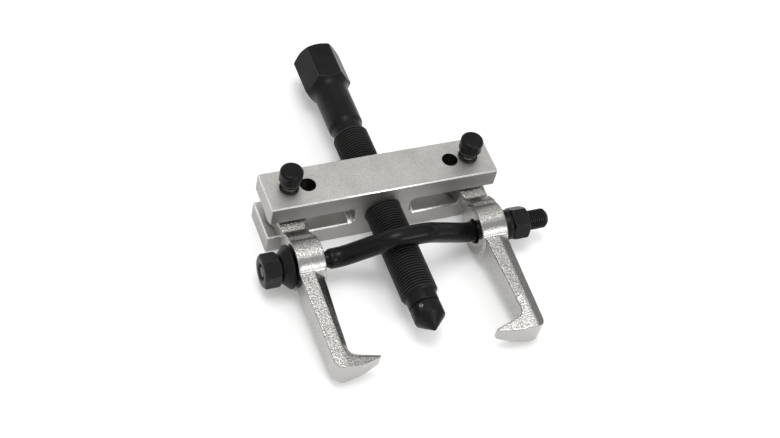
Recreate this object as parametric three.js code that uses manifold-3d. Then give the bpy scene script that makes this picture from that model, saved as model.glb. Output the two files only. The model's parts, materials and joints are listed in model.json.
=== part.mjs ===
// Two-jaw bar-type gear puller, lying on the underside of its crossbar.
// Millimetres. The origin is the middle of the crossbar's underside: +X runs along the
// crossbar, +Y runs along the forcing screw towards its hexagon head, +Z is up.
import * as THREE from "three";
import { mergeVertices } from "three/addons/utils/BufferGeometryUtils.js";
import Module from "manifold-3d";

const wasm = await Module();
wasm.setup();

// ---------------------------------------------------------------- driving dimensions

const INCH = 25.4;
const GAP = 0.3; // clearance between pieces that touch on the real tool

const BAR_LENGTH = 113;
const BAR_WIDTH = 22.4;
const BAR_HEIGHT = 31;
const PLATE = 10.5; // thickness of the crossbar above and below its slots
const WEB = 14; // half the width of the solid web that holds the screw
const BAR_EDGE = 0.7; // chamfer on the crossbar's long edges
const MIDDLE = BAR_HEIGHT / 2; // height of the screw's axis and of the slots' middle

const PIN_X = 44.75; // outer pin holes, where the jaws hang
const SPARE_PIN_X = 35.6; // inner pin holes, for small gears
const PIN_RADIUS = 3.65;
const PIN_HOLE_RADIUS = 3.85;
const PIN_FOOT = 1; // height of the pins' lower ends
const KNOB_RADIUS = 5.45;
const KNOB_BASE = 3.1; // knob's lower face above the crossbar
const KNOB_TOP = 12.8;
const RING_RADIUS = 4.2;

const SCREW_RADIUS = (11 / 16) * INCH * 0.5;
const SCREW_BORE = SCREW_RADIUS + 0.2;
const HEX_ACROSS_FLATS = 0.8125 * INCH;
const HEX_TURN = 26.5; // degrees between a corner of the hexagon and straight up
const HEX_END_Y = 90;
const HEX_BASE_Y = 69.5; // where the corners of the hexagon begin
const FLARE_Y = 61; // where the shank begins to flare out to the hexagon
const SHANK_RADIUS = 8.55;
const SHANK_END_Y = 43;
const UNDERCUT_RADIUS = 7.6;
const THREAD_TOP_Y = 33.5;
const THREAD_END_Y = -60.8;
const SCREW_END_Y = -67.5; // joint between the screw and its tip
const TIP_RADIUS = 7.3;
const TIP_CONE_Y = -74.4;
const TIP_POINT_Y = -80.8;
const BALL_RADIUS = 3.1;
const TIP_PIN_RADIUS = 1.25;
const TIP_PIN_DEPTH = 2.2; // from the joint to the pin's axis
const TIP_PIN_TURN = 125; // degrees from +X, over the top of the screw

const JAW_DROOP = 3.3; // degrees that the jaws hang in the slots' clearance
const TONGUE_THICKNESS = 8.5;
const TONGUE_END_Y = -18;
const EYE_RADIUS = 9.6;
const EYE_HOLE_RADIUS = 4.2;
const RIGHT_JAW_SPREAD = 0.8; // degrees that the right jaw stands further out
const BOSS_Y = -31; // side bolt's holes, from the pins
const BOSS_CENTRE_Y = -30.6;
const BOSS_RADIUS = 11.9;
const BOSS_INNER = 6.4; // from the pin's axis to the boss's inner face
const LEG_THICKNESS = 14.2;
const LEG_OUTER = 6.75; // from the pin's axis to the leg's outer face, at the boss
const LEG_INNER = 5.05;
const HOOK_Y = -81;
const HOOK_REACH = 17.2; // from the pin's axis to the tip of the hook
const HOOK_TIP_THICKNESS = 6.8;
const OUTER_BEVEL_WIDTH = 4.9;
const OUTER_BEVEL_DROP = 2.6;
const LEFT_HOLE_RADIUS = 4.75;
const RIGHT_HOLE_RADIUS = 5.6;
const COUNTERSINK = 1; // depth of the flare round the bolt holes

const ROD_RADIUS = 0.375 * INCH * 0.5;
const NECK_RADIUS = 3.7;
const SHOULDER_X = -33.6;
const ROD_THREAD_X = 41; // where the right-hand thread begins
const ROD_LEFT_END = -65.6;
const ROD_RIGHT_END = 77;
const BOW_HEIGHT = 16.9;
const BOW_TILT = 22.4; // degrees that the bow leans towards the screw's point
const BOW_FEET = [-27, 35];
const BOW_CREST = [-7, 10];
const BOW_BEND = 13; // centreline radius of the bends
const WASHER_INNER_X = 51.8;
const WASHER_OUTER_X = 57.5;
const WASHER_WIDE = 10.4;
const WASHER_NARROW = 6.6;
const WASHER_DOME = 0.7; // how far the rim stands back from the washer's seat
const COLLAR_INNER_X = 52.3;
const COLLAR_SEAT = 6.2; // radius of the right-hand washer's narrow end, at the jaw
const COLLAR_RADIUS = 7.3;
const NUT_INNER_X = 57.8;
const NUT_OUTER_X = 66.1;
const NUT_ACROSS_FLATS = (9 / 16) * INCH;
const LEFT_NUT_TURN = -5;
const RIGHT_NUT_TURN = -14;

const ROUND = 32; // facets round a turned piece

// ---------------------------------------------------------------- solids

const radians = THREE.MathUtils.degToRad;

// A closed three.js geometry as a solid that can be joined and cut.
function solid(geometry) {
  const bare = geometry.clone();
  bare.deleteAttribute("normal");
  bare.deleteAttribute("uv");
  const merged = mergeVertices(bare, 1e-4);
  return new wasm.Manifold(
    new wasm.Mesh({
      numProp: 3,
      vertProperties: new Float32Array(merged.attributes.position.array),
      triVerts: new Uint32Array(merged.index.array),
    }),
  );
}

function geometryOf(made) {
  const mesh = made.getMesh();
  const geometry = new THREE.BufferGeometry();
  const points = new Float32Array(mesh.numVert * 3);
  for (let i = 0; i < mesh.numVert; i++) {
    points.set(mesh.vertProperties.subarray(i * mesh.numProp, i * mesh.numProp + 3), i * 3);
  }
  geometry.setAttribute("position", new THREE.BufferAttribute(points, 3));
  geometry.setIndex(new THREE.BufferAttribute(new Uint32Array(mesh.triVerts), 1));
  return geometry;
}

function box(low, high) {
  const size = high.map((value, axis) => value - low[axis]);
  const middle = high.map((value, axis) => (value + low[axis]) / 2);
  return solid(new THREE.BoxGeometry(...size).translate(...middle));
}

function cylinder(radius, from, to, axis, [a, b], facets = ROUND) {
  const rod = new THREE.CylinderGeometry(radius, radius, to - from, facets);
  const along = (from + to) / 2;
  if (axis === "x") return solid(rod.rotateZ(-Math.PI / 2).translate(along, a, b));
  if (axis === "y") return solid(rod.translate(a, along, b));
  return solid(rod.rotateX(Math.PI / 2).translate(a, b, along));
}

// A turned piece about the Y axis, from [radius, y] pairs that start and end on the axis.
function turned(profile, facets = ROUND) {
  const points = profile.map(([radius, y]) => new THREE.Vector2(radius, y));
  return new THREE.LatheGeometry(points, facets);
}

// A plate whose outline lies in XY, from one height to another.
function plate(outline, from, to, curve = 8) {
  const depth = to - from;
  const made = new THREE.ExtrudeGeometry(outline, {
    depth,
    bevelEnabled: false,
    curveSegments: curve,
  });
  return made.translate(0, 0, from);
}

function polygon(points) {
  return new THREE.Shape(points.map(([x, y]) => new THREE.Vector2(x, y)));
}

// A hexagonal prism along Y. Its lower end is turned to the profile given, which starts on the
// axis and ends beyond the corners, and its upper end has its corners turned off.
function hexagon(acrossFlats, to, turn, lowerEnd, chamfer) {
  const corner = acrossFlats / Math.sqrt(3);
  const from = lowerEnd[0][1];
  const prism = new THREE.CylinderGeometry(corner, corner, to - from, 6);
  prism.rotateY(radians(turn)).translate(0, (from + to) / 2, 0);
  const round = turned([
    ...lowerEnd,
    [corner + 0.01, to - chamfer],
    [acrossFlats * 0.47, to],
    [0, to],
  ]);
  return solid(prism).intersect(solid(round));
}

// A solid between two triangles that face each other.
function wedge(first, second) {
  const points = [...first, ...second].flat();
  const geometry = new THREE.BufferGeometry();
  geometry.setAttribute("position", new THREE.Float32BufferAttribute(points, 3));
  geometry.setIndex([
    0, 1, 2, 3, 5, 4, 0, 3, 1, 1, 3, 4, 1, 4, 2, 2, 4, 5, 2, 5, 0, 0, 5, 3,
  ]);
  const made = solid(geometry);
  if (made.volume() > 0) return made;
  const turnedOver = [];
  const order = geometry.index.array;
  for (let i = 0; i < order.length; i += 3) turnedOver.push(order[i], order[i + 2], order[i + 1]);
  geometry.setIndex(turnedOver);
  return solid(geometry);
}

// ---------------------------------------------------------------- materials

const finishes = {
  plated: { color: 0xb9b8b4, roughness: 0.38, metalness: 0.9 },
  forged: { color: 0xc9c8c5, roughness: 0.3, metalness: 0.95 },
  blackened: { color: 0x1c1b1b, roughness: 0.42, metalness: 0.7 },
  glossBlack: { color: 0x121212, roughness: 0.28, metalness: 0.6 },
  knob: { color: 0x141414, roughness: 0.35, metalness: 0.2 },
  rubber: { color: 0x0d0d0d, roughness: 0.7, metalness: 0 },
  hardened: { color: 0x8d8f92, roughness: 0.2, metalness: 1 },
};

function piece(name, shape, finish) {
  const geometry = shape.isBufferGeometry ? shape : geometryOf(shape);
  const mesh = new THREE.Mesh(geometry, new THREE.MeshStandardMaterial(finishes[finish]));
  mesh.name = name;
  return mesh;
}

// ---------------------------------------------------------------- crossbar

function crossbarSolid() {
  const half = BAR_WIDTH / 2;
  const edge = BAR_EDGE;
  const end = polygon([
    [-half + edge, 0],
    [half - edge, 0],
    [half, edge],
    [half, BAR_HEIGHT - edge],
    [half - edge, BAR_HEIGHT],
    [-half + edge, BAR_HEIGHT],
    [-half, BAR_HEIGHT - edge],
    [-half, edge],
  ]);
  const block = plate(end, -BAR_LENGTH / 2, BAR_LENGTH / 2);
  block.rotateX(Math.PI / 2).rotateZ(Math.PI / 2);
  let bar = solid(block);
  for (const side of [-1, 1]) bar = bar.subtract(slotSolid(side));
  bar = bar.subtract(cylinder(SCREW_BORE, -half - 1, half + 1, "y", [0, MIDDLE], 48));
  for (const x of [-PIN_X, -SPARE_PIN_X, SPARE_PIN_X, PIN_X]) {
    bar = bar.subtract(cylinder(PIN_HOLE_RADIUS, -1, BAR_HEIGHT + 1, "z", [x, 0], 32));
  }
  return bar;
}

// A slot is open at the bar's end, and its inner corners are rounded.
function slotSolid(side) {
  const corner = 2.4;
  const mouth = BAR_LENGTH / 2 + 2;
  const low = PLATE;
  const high = BAR_HEIGHT - PLATE;
  const outline = new THREE.Shape();
  outline.moveTo(mouth, low);
  outline.lineTo(mouth, high);
  outline.lineTo(WEB + corner, high);
  outline.absarc(WEB + corner, high - corner, corner, Math.PI / 2, Math.PI, false);
  outline.lineTo(WEB, low + corner);
  outline.absarc(WEB + corner, low + corner, corner, Math.PI, 1.5 * Math.PI, false);
  const slot = plate(outline, -BAR_WIDTH / 2 - 1, BAR_WIDTH / 2 + 1, 5);
  slot.rotateX(Math.PI / 2);
  if (side < 0) slot.rotateZ(Math.PI);
  return solid(slot);
}

// ---------------------------------------------------------------- forcing screw and tip

function forcingScrewSolid() {
  const body = turned([
    [0, SCREW_END_Y],
    [TIP_RADIUS, SCREW_END_Y],
    [TIP_RADIUS, THREAD_END_Y - 1.6],
    [SCREW_RADIUS, THREAD_END_Y],
    [SCREW_RADIUS, THREAD_TOP_Y],
    [UNDERCUT_RADIUS, THREAD_TOP_Y + 3],
    [UNDERCUT_RADIUS, SHANK_END_Y - 2],
    [SHANK_RADIUS, SHANK_END_Y],
    [SHANK_RADIUS, FLARE_Y],
    [0, FLARE_Y],
  ]);
  const corner = HEX_ACROSS_FLATS / Math.sqrt(3);
  const flare = [
    [0, FLARE_Y - 1],
    [SHANK_RADIUS - 0.01, FLARE_Y - 1],
    [SHANK_RADIUS + 0.03, FLARE_Y + 1],
    [SHANK_RADIUS + 0.3, FLARE_Y + 3.2],
    [SHANK_RADIUS + 0.85, FLARE_Y + 5.2],
    [SHANK_RADIUS + 1.8, FLARE_Y + 7],
    [corner + 0.01, HEX_BASE_Y],
  ];
  const head = hexagon(HEX_ACROSS_FLATS, HEX_END_Y, HEX_TURN, flare, 1.8);
  const socket = turned([
    [0, SCREW_END_Y - 1],
    [BALL_RADIUS + 0.1, SCREW_END_Y - 1],
    [BALL_RADIUS + 0.1, SCREW_END_Y + BALL_RADIUS - 0.4],
    [0, SCREW_END_Y + BALL_RADIUS + 0.8],
  ], 24);
  return solid(body).add(head).subtract(solid(socket));
}

// The tip turns freely on the ball; its cross pin sits in a hole near the joint.
function screwTipSolid() {
  const top = SCREW_END_Y - GAP;
  const body = turned([
    [0, TIP_POINT_Y],
    [0.35, TIP_POINT_Y + 0.15],
    [TIP_RADIUS, TIP_CONE_Y],
    [TIP_RADIUS, top],
    [0, top],
  ]);
  const socket = turned([
    [0, top - BALL_RADIUS - 0.8],
    [BALL_RADIUS + 0.1, top - BALL_RADIUS + 0.4],
    [BALL_RADIUS + 0.1, top + 1],
    [0, top + 1],
  ], 24);
  const pinHole = tipPinCylinder(TIP_PIN_RADIUS + 0.05, 3.9, TIP_RADIUS + 1);
  return solid(body).subtract(solid(socket)).subtract(pinHole);
}

function tipPinCylinder(radius, from, to) {
  const across = cylinder(radius, from, to, "x", [0, 0], 20);
  return across.rotate([0, -TIP_PIN_TURN, 0]).translate([0, SCREW_END_Y - GAP - TIP_PIN_DEPTH, 0]);
}

// ---------------------------------------------------------------- jaws

// One forging serves both sides. It is drawn as the left jaw, from the pin's axis: +X is
// inwards, -Y towards the hook, and z = 0 is its middle plane.
function jawPlan() {
  const outline = new THREE.Shape();
  const neck = -11;
  outline.absarc(0, 0, EYE_RADIUS, radians(-40), radians(220), false);
  outline.lineTo(-LEG_OUTER, neck - 3);
  outline.lineTo(-LEG_OUTER, BOSS_Y - 14);
  outline.lineTo(-LEG_OUTER + 0.9, HOOK_Y - 4.6);
  outline.quadraticCurveTo(-LEG_OUTER + 1.1, HOOK_Y - 8.8, -1.6, HOOK_Y - 9.6);
  outline.quadraticCurveTo(4.6, HOOK_Y - 9.9, 9.6, HOOK_Y - 8.6);
  outline.lineTo(HOOK_REACH - 0.5, HOOK_Y - 6.2);
  outline.lineTo(HOOK_REACH, HOOK_Y - 5.6);
  outline.lineTo(HOOK_REACH + 0.1, HOOK_Y - 4.5);
  outline.lineTo(6.6, HOOK_Y - 2.4);
  outline.quadraticCurveTo(3.7, HOOK_Y - 1.7, 3.4, HOOK_Y + 1.8);
  outline.lineTo(LEG_INNER, BOSS_Y - 14);
  outline.lineTo(LEG_INNER, neck - 3);
  return outline;
}

// Seen from the side: thin tongue in the slot, barrel boss, and a thick leg.
function jawSide() {
  const tongue = TONGUE_THICKNESS / 2;
  const leg = LEG_THICKNESS / 2;
  const back = radians(36);
  const front = Math.acos(leg / BOSS_RADIUS);
  const up = Math.PI / 2;
  const outline = new THREE.Shape();
  outline.moveTo(EYE_RADIUS + 1, -tongue);
  outline.lineTo(EYE_RADIUS + 1, tongue);
  outline.lineTo(TONGUE_END_Y + 2.5, tongue);
  outline.lineTo(TONGUE_END_Y + 0.8, tongue + 2);
  outline.lineTo(TONGUE_END_Y - 3, tongue + 4.6);
  outline.absarc(BOSS_CENTRE_Y, 0, BOSS_RADIUS, up - back, up + front, false);
  outline.lineTo(HOOK_Y - 12, leg);
  outline.lineTo(HOOK_Y - 12, -leg);
  outline.absarc(BOSS_CENTRE_Y, 0, BOSS_RADIUS, -up - front, -up + back, false);
  outline.lineTo(TONGUE_END_Y - 3, -tongue - 4.6);
  outline.lineTo(TONGUE_END_Y + 0.8, -tongue - 2);
  outline.lineTo(TONGUE_END_Y + 2.5, -tongue);
  return outline;
}

// Height of the hook's upper face, which falls from the leg's inner side to the tip.
function hookTop(x) {
  const leg = LEG_THICKNESS / 2;
  return leg - (Math.max(x, 0) / HOOK_REACH) * (leg - HOOK_TIP_THICKNESS / 2);
}

// Seen along the leg: the hook thins towards its tip.
function hookTaper() {
  const end = HOOK_REACH + 1;
  return polygon([
    [-12, -hookTop(0)],
    [0, -hookTop(0)],
    [end, -hookTop(end)],
    [end, hookTop(end)],
    [0, hookTop(0)],
    [-12, hookTop(0)],
  ]);
}

// Cuts an edge of the jaw to a bevel. Each station has a point on the jaw's outline, the way out
// of the metal there, and the bevel's width and drop; the side is +1 above and -1 below.
function bevelCut(stations, side) {
  const clear = 0.5;
  const beyond = 3;
  const triangles = stations.map(({ at: [x, y], out: [outX, outY], width, drop }) => {
    const slope = drop / width;
    const face = side * hookTop(y < HOOK_Y ? x : 0);
    const inside = width + clear / slope;
    return [
      [x - outX * inside, y - outY * inside, face + side * clear],
      [x + outX * beyond, y + outY * beyond, face + side * clear],
      [x + outX * beyond, y + outY * beyond, face - side * (drop + beyond * slope)],
    ];
  });
  return triangles
    .slice(1)
    .map((triangle, i) => wedge(triangles[i], triangle))
    .reduce((cut, next) => cut.add(next));
}

// The long bevel on the leg's inner upper edge, which turns the corner and runs on along the hook.
function innerBevel() {
  return bevelCut(
    [
      { at: [LEG_INNER, BOSS_Y - 9.5], out: [1, 0], width: 4.7, drop: 3.4 },
      { at: [3.6, HOOK_Y + 3], out: [1, 0], width: 3.2, drop: 2.8 },
      { at: [4.1, HOOK_Y - 1], out: [0.71, 0.71], width: 3, drop: 2.6 },
      { at: [7.2, HOOK_Y - 2.5], out: [0.19, 0.98], width: 2.5, drop: 2.2 },
      { at: [HOOK_REACH + 2, HOOK_Y - 4.8], out: [0.19, 0.98], width: 1.4, drop: 1.2 },
    ],
    1,
  );
}

// The bevel on the outer lower edge, from the boss to the heel.
function outerBevel() {
  const shape = { out: [-1, 0], width: OUTER_BEVEL_WIDTH, drop: OUTER_BEVEL_DROP };
  return bevelCut(
    [
      { at: [-LEG_OUTER, BOSS_Y - 9.5], ...shape },
      { at: [-LEG_OUTER + 0.9, HOOK_Y - 12], ...shape },
    ],
    -1,
  );
}

function jawSolid(boltHoleRadius) {
  const profile = solid(plate(jawPlan(), -16, 16, 10));
  const side = plate(jawSide(), -14, 30, 16).rotateX(Math.PI / 2).rotateZ(Math.PI / 2);
  const hookStart = HOOK_Y + 8;
  const taper = plate(hookTaper(), -hookStart, -HOOK_Y + 14).rotateX(Math.PI / 2);
  const legPart = profile.intersect(solid(side)).intersect(
    box([-14, hookStart - 0.01, -14], [HOOK_REACH + 4, EYE_RADIUS + 2, 14]),
  );
  const hookPart = profile.intersect(solid(taper));
  const boss = cylinder(BOSS_RADIUS, -LEG_OUTER, BOSS_INNER, "x", [BOSS_CENTRE_Y, 0], 48);
  const flare = boltHoleRadius + COUNTERSINK + 1;
  const hole = turned([
    [0, -LEG_OUTER - 1],
    [flare, -LEG_OUTER - 1],
    [boltHoleRadius, -LEG_OUTER + COUNTERSINK],
    [boltHoleRadius, BOSS_INNER - COUNTERSINK],
    [flare, BOSS_INNER + 1],
    [0, BOSS_INNER + 1],
  ], 32).rotateZ(-Math.PI / 2).translate(0, BOSS_Y, 0);
  return legPart
    .add(hookPart)
    .subtract(innerBevel())
    .subtract(outerBevel())
    .add(boss)
    .subtract(cylinder(EYE_HOLE_RADIUS, -20, 20, "z", [0, 0], 32))
    .subtract(solid(hole));
}

// ---------------------------------------------------------------- pins

function pinProfile() {
  const top = BAR_HEIGHT + KNOB_TOP - 3;
  return [
    [0, PIN_FOOT],
    [PIN_RADIUS - 0.8, PIN_FOOT],
    [PIN_RADIUS, PIN_FOOT + 1.2],
    [PIN_RADIUS, BAR_HEIGHT + KNOB_BASE + 0.4],
    [PIN_RADIUS - 1, BAR_HEIGHT + KNOB_BASE + 0.4],
    [PIN_RADIUS - 1, top],
    [0, top],
  ];
}

function knobProfile() {
  const base = BAR_HEIGHT + KNOB_BASE;
  const top = BAR_HEIGHT + KNOB_TOP;
  const bore = PIN_RADIUS - 1 + 0.1;
  return [
    [bore, base + 0.7],
    [PIN_RADIUS + 0.2, base + 0.7],
    [PIN_RADIUS + 0.2, base],
    [KNOB_RADIUS - 1.4, base],
    [KNOB_RADIUS - 0.3, base + 2.6],
    [KNOB_RADIUS, base + 3.4],
    [KNOB_RADIUS, top - 1],
    [KNOB_RADIUS - 1, top],
    [0, top],
    [0, top - 2.7],
    [bore, top - 2.7],
    [bore, base + 0.7],
  ];
}

function ringGeometry() {
  const round = new THREE.TorusGeometry(RING_RADIUS, 0.45, 6, 24);
  return round.translate(0, 0, BAR_HEIGHT + 0.85);
}

// ---------------------------------------------------------------- side bolt

// Corners of the bent rod's centreline in its own plane, with the bends rounded.
function bowCentreline() {
  const corners = [
    [SHOULDER_X, 0],
    [BOW_FEET[0], 0],
    [BOW_CREST[0], BOW_HEIGHT],
    [BOW_CREST[1], BOW_HEIGHT],
    [BOW_FEET[1], 0],
    [ROD_THREAD_X, 0],
  ].map(([x, h]) => new THREE.Vector2(x, h));
  const points = [corners[0]];
  for (let i = 1; i < corners.length - 1; i++) points.push(...bend(...corners.slice(i - 1, i + 2)));
  points.push(corners[corners.length - 1]);
  return points;
}

// Points of the arc that rounds the corner between two straight stretches.
function bend(before, corner, after) {
  const back = before.clone().sub(corner).normalize();
  const on = after.clone().sub(corner).normalize();
  const turn = Math.PI - Math.acos(back.dot(on));
  const setback = BOW_BEND * Math.tan(turn / 2);
  const centre = corner
    .clone()
    .add(back.clone().add(on).normalize().multiplyScalar(BOW_BEND / Math.cos(turn / 2)));
  const start = corner.clone().addScaledVector(back, setback).sub(centre);
  const end = corner.clone().addScaledVector(on, setback).sub(centre);
  const sweep = Math.atan2(start.cross(end), start.dot(end));
  const steps = 5;
  const points = [];
  for (let i = 0; i <= steps; i++) {
    points.push(start.clone().rotateAround(new THREE.Vector2(), (sweep * i) / steps).add(centre));
  }
  return points;
}

// Rings of vertices along the centreline, closed at both ends.
function sideBoltGeometry() {
  const stations = [
    { at: new THREE.Vector2(ROD_LEFT_END, 0), radius: NECK_RADIUS - 0.7 },
    { at: new THREE.Vector2(ROD_LEFT_END + 0.7, 0), radius: NECK_RADIUS },
    { at: new THREE.Vector2(SHOULDER_X - 1.4, 0), radius: NECK_RADIUS },
    ...bowCentreline().map((at) => ({ at, radius: ROD_RADIUS })),
    { at: new THREE.Vector2(ROD_RIGHT_END - 1.1, 0), radius: ROD_RADIUS },
    { at: new THREE.Vector2(ROD_RIGHT_END, 0), radius: ROD_RADIUS - 1.1 },
  ];
  const facets = 24;
  const points = [];
  stations.forEach(({ at, radius }, i) => {
    const before = stations[Math.max(i - 1, 0)].at;
    const after = stations[Math.min(i + 1, stations.length - 1)].at;
    const along = after.clone().sub(before).normalize();
    for (let k = 0; k < facets; k++) {
      const angle = (2 * Math.PI * k) / facets;
      const across = radius * Math.cos(angle);
      points.push(at.x - along.y * across, radius * Math.sin(angle), at.y + along.x * across);
    }
  });
  const faces = [];
  for (let i = 0; i < stations.length - 1; i++) {
    for (let k = 0; k < facets; k++) {
      const a = i * facets + k;
      const b = i * facets + ((k + 1) % facets);
      faces.push(a, a + facets, b, b, a + facets, b + facets);
    }
  }
  const last = (stations.length - 1) * facets;
  for (let k = 1; k < facets - 1; k++) {
    faces.push(0, k, k + 1);
    faces.push(last, last + k + 1, last + k);
  }
  const geometry = new THREE.BufferGeometry();
  geometry.setAttribute("position", new THREE.Float32BufferAttribute(points, 3));
  geometry.setIndex(faces);
  return geometry.rotateX(radians(BOW_TILT));
}

// Washers and nuts are drawn for the right-hand side, about the bolt's axis along X. The left
// washer stands on its wide end, and the right one on its narrow end.
function leftWasherProfile(bore) {
  return [
    [bore, WASHER_INNER_X],
    [bore + 0.4, WASHER_INNER_X],
    [WASHER_WIDE - 0.3, WASHER_INNER_X + WASHER_DOME],
    [WASHER_WIDE, WASHER_INNER_X + WASHER_DOME + 0.4],
    [WASHER_WIDE, WASHER_INNER_X + WASHER_DOME + 1],
    [WASHER_NARROW, WASHER_OUTER_X],
    [bore, WASHER_OUTER_X],
    [bore, WASHER_INNER_X],
  ];
}

function rightWasherProfile(bore) {
  return [
    [bore, COLLAR_INNER_X],
    [COLLAR_SEAT, COLLAR_INNER_X],
    [COLLAR_RADIUS, WASHER_OUTER_X - 1.4],
    [COLLAR_RADIUS, WASHER_OUTER_X - 0.3],
    [COLLAR_RADIUS - 0.3, WASHER_OUTER_X],
    [bore, WASHER_OUTER_X],
    [bore, COLLAR_INNER_X],
  ];
}

function nutSolid(bore, turn) {
  const chamfer = 1.1;
  const corner = NUT_ACROSS_FLATS / Math.sqrt(3);
  const face = [
    [0, NUT_INNER_X],
    [NUT_ACROSS_FLATS * 0.47, NUT_INNER_X],
    [corner + 0.01, NUT_INNER_X + chamfer],
  ];
  const body = hexagon(NUT_ACROSS_FLATS, NUT_OUTER_X, turn, face, chamfer);
  const hole = turned([
    [0, NUT_INNER_X - 1],
    [bore + 1.4, NUT_INNER_X - 1],
    [bore, NUT_INNER_X + 0.5],
    [bore, NUT_OUTER_X - 0.5],
    [bore + 1.4, NUT_OUTER_X + 1],
    [0, NUT_OUTER_X + 1],
  ]);
  return body.subtract(solid(hole)).rotate([0, 0, -90]);
}

// ---------------------------------------------------------------- assembly

const puller = new THREE.Group();

function place(group, ...pieces) {
  pieces.forEach((made) => group.add(made));
  puller.add(group);
}

place(new THREE.Group(), piece("crossbar", crossbarSolid(), "plated"));

const screwLine = new THREE.Group();
screwLine.position.set(0, 0, MIDDLE);
place(
  screwLine,
  piece("forcing_screw", forcingScrewSolid(), "blackened"),
  piece("screw_tip", screwTipSolid(), "blackened"),
  piece(
    "tip_retaining_pin",
    tipPinCylinder(TIP_PIN_RADIUS, 4.2, TIP_RADIUS - 0.1),
    "hardened",
  ),
  piece(
    "thrust_ball",
    new THREE.SphereGeometry(BALL_RADIUS, 14, 9).translate(0, SCREW_END_Y - GAP / 2, 0),
    "hardened",
  ),
);

for (const [side, x, holeRadius] of [
  ["left", -PIN_X, LEFT_HOLE_RADIUS],
  ["right", PIN_X, RIGHT_HOLE_RADIUS],
]) {
  const hanger = new THREE.Group();
  hanger.position.set(x, 0, MIDDLE);
  hanger.rotation.x = radians(JAW_DROOP);
  const jaw = piece(`${side}_jaw`, jawSolid(holeRadius), "forged");
  if (side === "right") {
    hanger.rotation.z = radians(RIGHT_JAW_SPREAD);
    jaw.rotation.y = Math.PI;
  }
  place(hanger, jaw);

  const pinGroup = new THREE.Group();
  pinGroup.position.set(x, 0, 0);
  const upright = (profile) => turned(profile, 32).rotateX(Math.PI / 2);
  place(
    pinGroup,
    piece(`${side}_pivot_pin`, upright(pinProfile()), "hardened"),
    piece(`${side}_pin_knob`, upright(knobProfile()), "knob"),
    piece(`${side}_pin_ring`, ringGeometry(), "rubber"),
  );
}

const boltLine = new THREE.Group();
boltLine.position.set(
  0,
  BOSS_Y * Math.cos(radians(JAW_DROOP)),
  MIDDLE + BOSS_Y * Math.sin(radians(JAW_DROOP)),
);
place(boltLine, piece("side_bolt", sideBoltGeometry(), "glossBlack"));

for (const [side, bore, washerProfile, turn] of [
  ["left", NECK_RADIUS + 0.15, leftWasherProfile, LEFT_NUT_TURN],
  ["right", ROD_RADIUS + 0.15, rightWasherProfile, RIGHT_NUT_TURN],
]) {
  const end = new THREE.Group();
  end.position.copy(boltLine.position);
  if (side === "left") end.rotation.z = Math.PI;
  place(
    end,
    piece(`${side}_cone_washer`, turned(washerProfile(bore)).rotateZ(-Math.PI / 2), "blackened"),
    piece(`${side}_nut`, nutSolid(bore, turn), "blackened"),
  );
}

export default puller;
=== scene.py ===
"""A two-jaw bar-type gear puller on a white studio floor.

Every CAD node is stood for by a finer mesh with a procedural material. Lengths are millimetres
until a mesh is made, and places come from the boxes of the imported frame. The floor, the lamps
and their places are in metres.
"""

import json
import math

import bmesh
import bpy
import numpy as np
from mathutils import Matrix, Vector, noise

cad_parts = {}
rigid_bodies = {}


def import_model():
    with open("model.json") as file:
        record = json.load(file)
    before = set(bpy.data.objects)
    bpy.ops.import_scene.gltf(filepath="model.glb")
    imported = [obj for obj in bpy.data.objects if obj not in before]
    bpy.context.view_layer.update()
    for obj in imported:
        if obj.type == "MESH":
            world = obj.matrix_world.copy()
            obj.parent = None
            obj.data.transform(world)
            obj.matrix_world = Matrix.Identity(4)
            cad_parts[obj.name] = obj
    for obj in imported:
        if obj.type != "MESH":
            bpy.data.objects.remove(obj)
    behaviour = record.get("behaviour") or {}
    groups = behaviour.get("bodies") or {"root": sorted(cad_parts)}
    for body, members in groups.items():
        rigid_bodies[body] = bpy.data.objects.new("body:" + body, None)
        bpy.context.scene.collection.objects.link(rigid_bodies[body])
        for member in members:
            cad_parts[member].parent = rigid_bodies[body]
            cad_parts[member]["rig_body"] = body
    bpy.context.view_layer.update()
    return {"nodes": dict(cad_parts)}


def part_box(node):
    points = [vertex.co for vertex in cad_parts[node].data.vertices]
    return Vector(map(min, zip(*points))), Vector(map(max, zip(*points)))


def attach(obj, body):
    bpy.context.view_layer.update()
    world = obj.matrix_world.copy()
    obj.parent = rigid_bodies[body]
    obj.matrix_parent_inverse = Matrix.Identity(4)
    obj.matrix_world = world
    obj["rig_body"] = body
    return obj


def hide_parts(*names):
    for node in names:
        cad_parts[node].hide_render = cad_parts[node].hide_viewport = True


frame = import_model()

MM = 0.001


def box(node):
    """Lowest and highest corner of a CAD node, in millimetres."""
    low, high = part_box(node)
    return np.array(low) / MM, np.array(high) / MM


# ---------------------------------------------------------------- sizes taken from the frame

BAR_LOW, BAR_HIGH = box("crossbar")
MIDDLE = (BAR_LOW[2] + BAR_HIGH[2]) / 2
SCREW_LOW, SCREW_HIGH = box("forcing_screw")
TIP_LOW, TIP_HIGH = box("screw_tip")
ROD_LOW, ROD_HIGH = box("side_bolt")
BALL_LOW, BALL_HIGH = box("thrust_ball")
BOLT_Y, BOLT_Z = [(low + high) / 2 for low, high in zip(*box("left_cone_washer"))][1:]

# ---------------------------------------------------------------- smaller sizes

CLEAR = 0.02  # keeps a turned surface just inside its CAD box
CENTRE = 0.02  # distance from the axis at which a profile is closed

PLATE = 10.5  # crossbar above and below its slots
WEB = 14.0  # half the width of the crossbar's web
SLOT_CORNER = 2.4
SLOT_CORNER_STEPS = 9
BAR_BEVEL = 0.6
# painted highlight: the crossbar's whole bevels get this share of the bright edge colour
BEVEL_HIGHLIGHT = 0.3
SCREW_RADIUS = 8.73
SCREW_BORE = SCREW_RADIUS + 0.2
PIN_HOLES = (-44.75, -35.6, 35.6, 44.75)
PIN_HOLE_RADIUS = 3.85

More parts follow.
